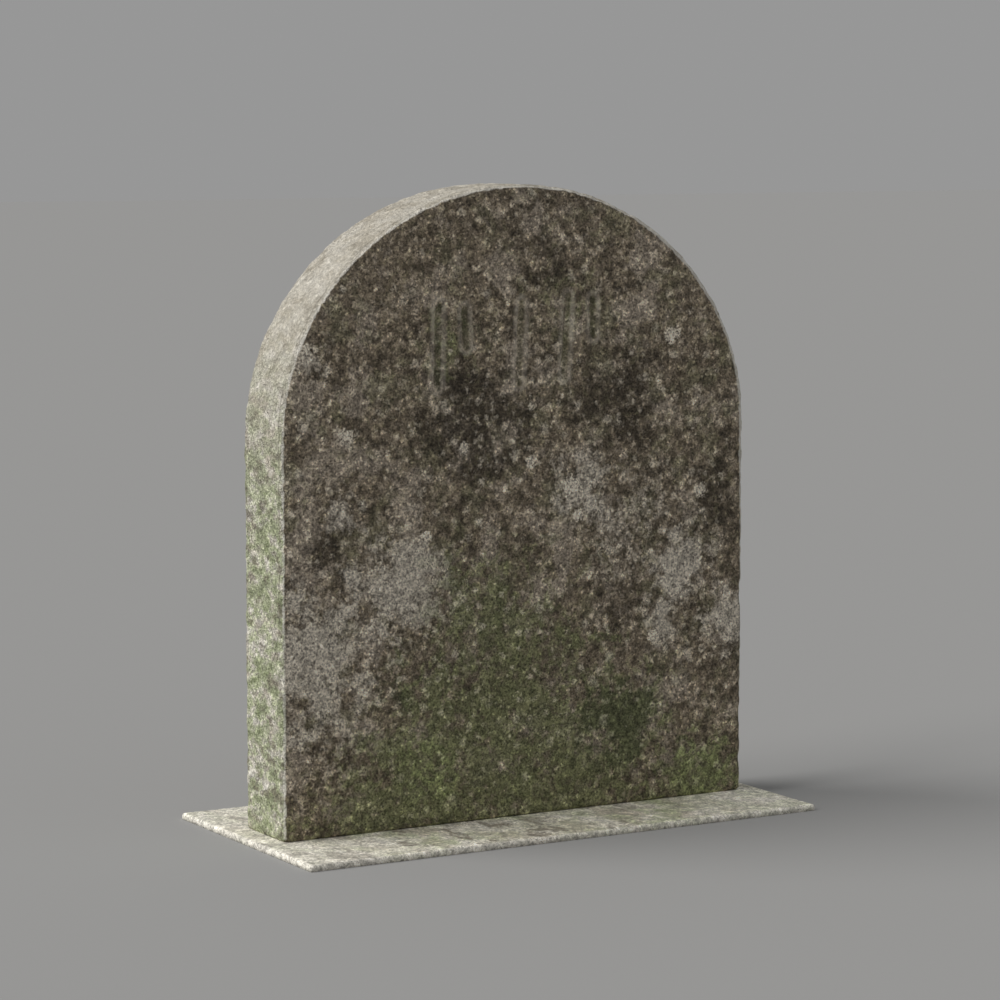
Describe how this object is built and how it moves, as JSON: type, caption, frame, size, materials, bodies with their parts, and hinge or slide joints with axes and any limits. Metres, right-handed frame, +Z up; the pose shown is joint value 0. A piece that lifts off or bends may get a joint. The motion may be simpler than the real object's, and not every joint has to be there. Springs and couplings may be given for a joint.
{
  "type": "headstone",
  "caption": "Weathered upright stone tablet with a rounded head, standing on a thin rectangular base slab as a grave marker.",
  "frame": {"origin": "centre of the base slab's underside, at ground level", "axes": "+Z up, the carved face of the tablet looks along -Y, +X to the right as one faces it"},
  "size_m": [0.694, 0.343, 0.7683],
  "materials": {
    "tablet_stone": "matte",
    "base_stone": "matte"
  },
  "bodies": {
    "root": {"tablet": "tablet_stone", "base_slab": "base_stone"}
  },
  "joints": []
}
